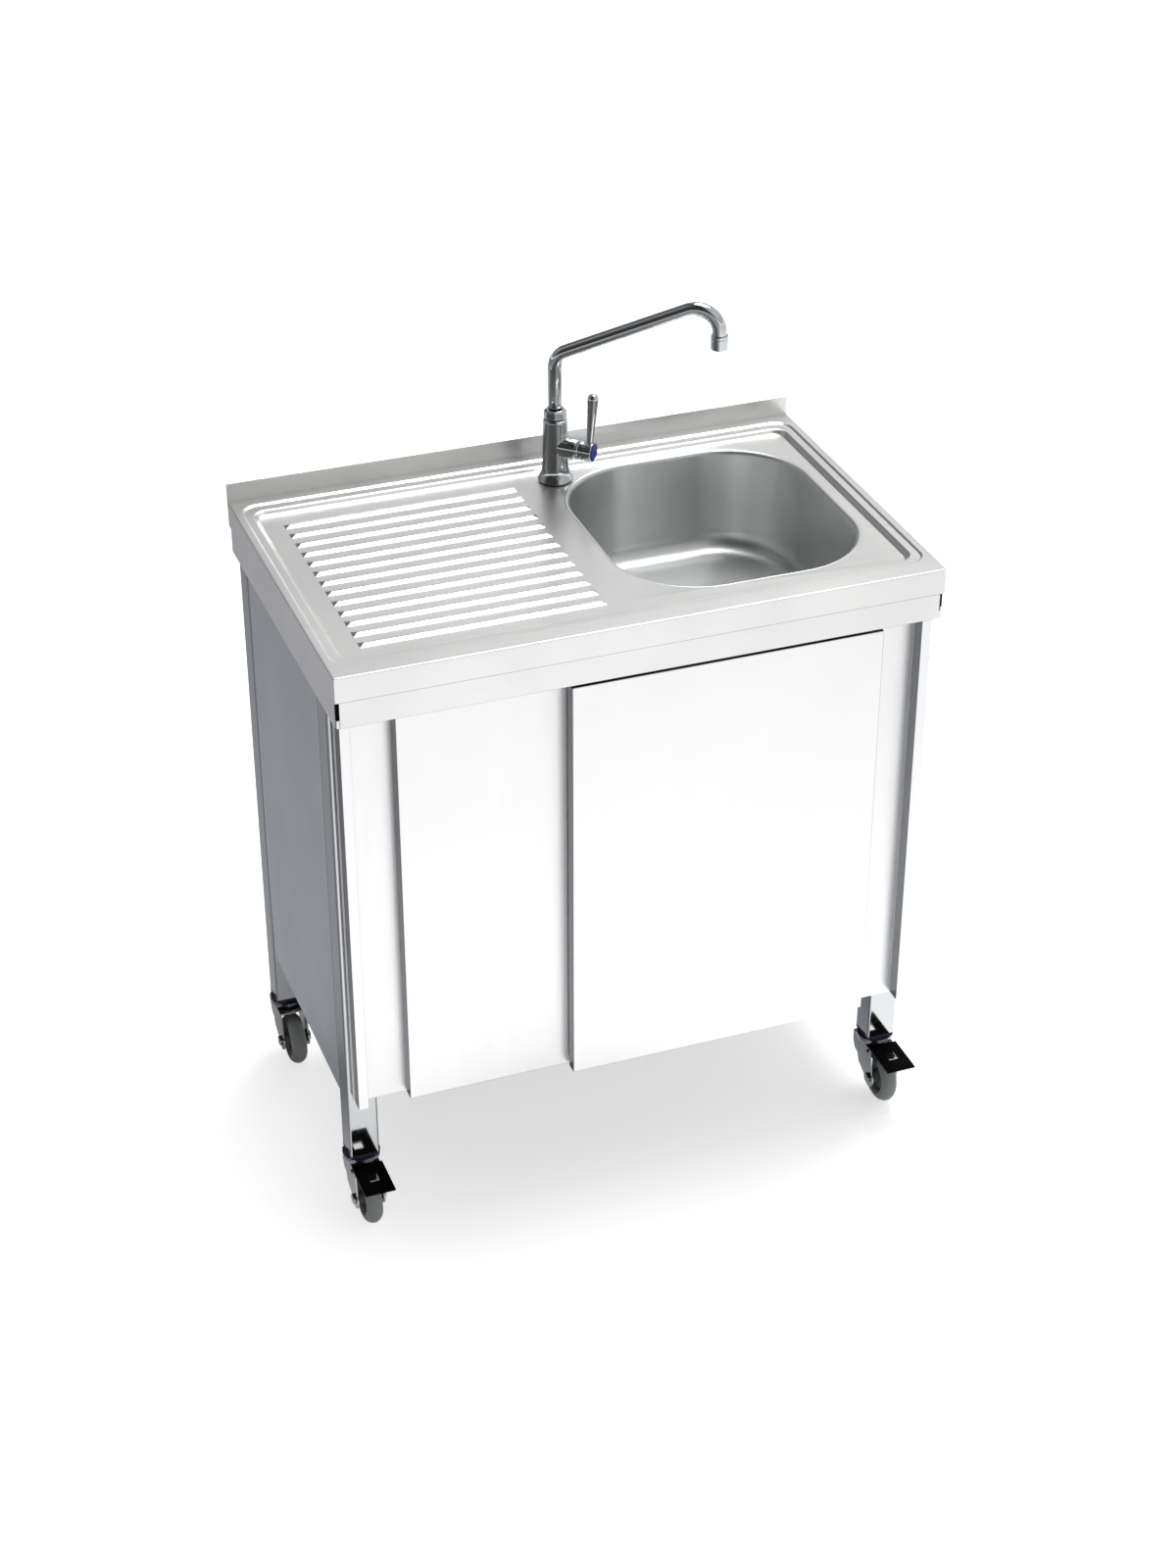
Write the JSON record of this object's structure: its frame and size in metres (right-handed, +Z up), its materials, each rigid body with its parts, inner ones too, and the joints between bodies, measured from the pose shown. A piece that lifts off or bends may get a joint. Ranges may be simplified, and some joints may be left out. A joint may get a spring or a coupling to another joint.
{
  "type": "portable sink",
  "caption": "Stainless steel sink on a wheeled cabinet: ribbed drainer and drawn bowl in one worktop, swivel spout tap with quarter-turn lever, sliding doors and braked swivel casters.",
  "frame": {"origin": "on the floor, at the centre of the whole footprint", "axes": "+Z up, +X to the right seen from the front, +Y to the back"},
  "size_m": [0.8062, 0.518, 1.1167],
  "materials": {
    "worktop_steel": "brushed",
    "bowl_steel": "satin, drawn",
    "frame_steel": "brushed",
    "leg_steel": "polished",
    "panel_steel": "fine brushed, blue-grey",
    "door_steel": "fine brushed",
    "tap_chrome": "polished",
    "valve_brass": "machined",
    "seal_rubber": "matte",
    "index_blue": "gloss",
    "trap_plastic": "moulded",
    "hanger_nylon": "moulded",
    "insert_plastic": "moulded",
    "caster_zinc": "bright zinc",
    "hub_plastic": "moulded",
    "tyre_rubber": "matte grey rubber",
    "pedal_paint": "black, satin"
  },
  "bodies": {
    "root": {"sink_top": "worktop_steel", "sink_bowl": "bowl_steel", "front_rail": "frame_steel", "back_rail": "frame_steel", "side_rails": "frame_steel", "corner_brackets": "frame_steel", "leg_front_left": "leg_steel", "leg_front_right": "leg_steel", "leg_back_left": "leg_steel", "leg_back_right": "leg_steel", "left_panel": "panel_steel", "right_panel": "panel_steel", "back_panel": "frame_steel", "shelf": "frame_steel", "left_strip": "door_steel", "right_strip": "door_steel", "door_track": "frame_steel", "tap_body": "tap_chrome", "tap_gasket": "seal_rubber", "tap_shank": "tap_chrome", "tap_lock_nut": "tap_chrome", "tap_grub_screw": "tap_chrome", "collar_nut": "tap_chrome", "valve_cartridge": "valve_brass", "valve_bonnet": "tap_chrome", "waste_strainer": "bowl_steel", "waste_gasket": "seal_rubber", "waste_body": "trap_plastic", "waste_nut": "trap_plastic", "trap_body": "trap_plastic", "trap_bottle": "trap_plastic", "leg_inserts": "insert_plastic", "swivel_pins": "caster_zinc"},
    "left_door": {"left_door": "door_steel", "left_door_hangers": "hanger_nylon"},
    "right_door": {"right_door": "door_steel", "right_door_hangers": "hanger_nylon"},
    "spout": {"spout": "tap_chrome", "nozzle": "tap_chrome"},
    "lever": {"tap_lever": "tap_chrome", "lever_disc": "index_blue"},
    "fork_front_left": {"fork_front_left": "caster_zinc", "axle_front_left": "caster_zinc"},
    "wheel_front_left": {"hub_front_left": "hub_plastic", "tyre_front_left": "tyre_rubber"},
    "pedal_left": {"pedal_left": "pedal_paint"},
    "fork_front_right": {"fork_front_right": "caster_zinc", "axle_front_right": "caster_zinc"},
    "wheel_front_right": {"hub_front_right": "hub_plastic", "tyre_front_right": "tyre_rubber"},
    "pedal_right": {"pedal_right": "pedal_paint"},
    "fork_back_left": {"fork_back_left": "caster_zinc", "axle_back_left": "caster_zinc"},
    "wheel_back_left": {"hub_back_left": "hub_plastic", "tyre_back_left": "tyre_rubber"},
    "fork_back_right": {"fork_back_right": "caster_zinc", "axle_back_right": "caster_zinc"},
    "wheel_back_right": {"hub_back_right": "hub_plastic", "tyre_back_right": "tyre_rubber"}
  },
  "joints": [
    {"name": "left_door_slide", "type": "slide", "parent": "root", "child": "left_door", "axis": [1, 0, 0], "range_m": [-0.056, 0.268]},
    {"name": "right_door_slide", "type": "slide", "parent": "root", "child": "right_door", "axis": [1, 0, 0], "range_m": [-0.29, 0.052]},
    {"name": "spout_swivel", "type": "hinge", "parent": "root", "child": "spout", "pos_m": [0.03294, 0.18906, 0.943], "axis": [0, 0, 1], "continuous": true},
    {"name": "lever_turn", "type": "hinge", "parent": "root", "child": "lever", "pos_m": [0.0683, 0.1537, 0.902], "axis": [0.7071, -0.7071, 0], "range_deg": [0, 90]},
    {"name": "swivel_front_left", "type": "hinge", "parent": "root", "child": "fork_front_left", "pos_m": [-0.3776, -0.1704, 0.0845], "axis": [0, 0, 1], "continuous": true},
    {"name": "spin_front_left", "type": "hinge", "parent": "fork_front_left", "child": "wheel_front_left", "pos_m": [-0.3776, -0.1974, 0.0375], "axis": [1, 0, 0], "continuous": true},
    {"name": "brake_left", "type": "hinge", "parent": "fork_front_left", "child": "pedal_left", "pos_m": [-0.3776, -0.1907, 0.078], "axis": [1, 0, 0], "range_deg": [0, 6]},
    {"name": "swivel_front_right", "type": "hinge", "parent": "root", "child": "fork_front_right", "pos_m": [0.3776, -0.1704, 0.0845], "axis": [0, 0, 1], "continuous": true},
    {"name": "spin_front_right", "type": "hinge", "parent": "fork_front_right", "child": "wheel_front_right", "pos_m": [0.3776, -0.1974, 0.0375], "axis": [1, 0, 0], "continuous": true},
    {"name": "brake_right", "type": "hinge", "parent": "fork_front_right", "child": "pedal_right", "pos_m": [0.3776, -0.1907, 0.078], "axis": [1, 0, 0], "range_deg": [0, 6]},
    {"name": "swivel_back_left", "type": "hinge", "parent": "root", "child": "fork_back_left", "pos_m": [-0.3776, 0.203, 0.0845], "axis": [0, 0, 1], "continuous": true},
    {"name": "spin_back_left", "type": "hinge", "parent": "fork_back_left", "child": "wheel_back_left", "pos_m": [-0.3776, 0.176, 0.0375], "axis": [1, 0, 0], "continuous": true},
    {"name": "swivel_back_right", "type": "hinge", "parent": "root", "child": "fork_back_right", "pos_m": [0.3776, 0.203, 0.0845], "axis": [0, 0, 1], "continuous": true},
    {"name": "spin_back_right", "type": "hinge", "parent": "fork_back_right", "child": "wheel_back_right", "pos_m": [0.3776, 0.176, 0.0375], "axis": [1, 0, 0], "continuous": true}
  ]
}
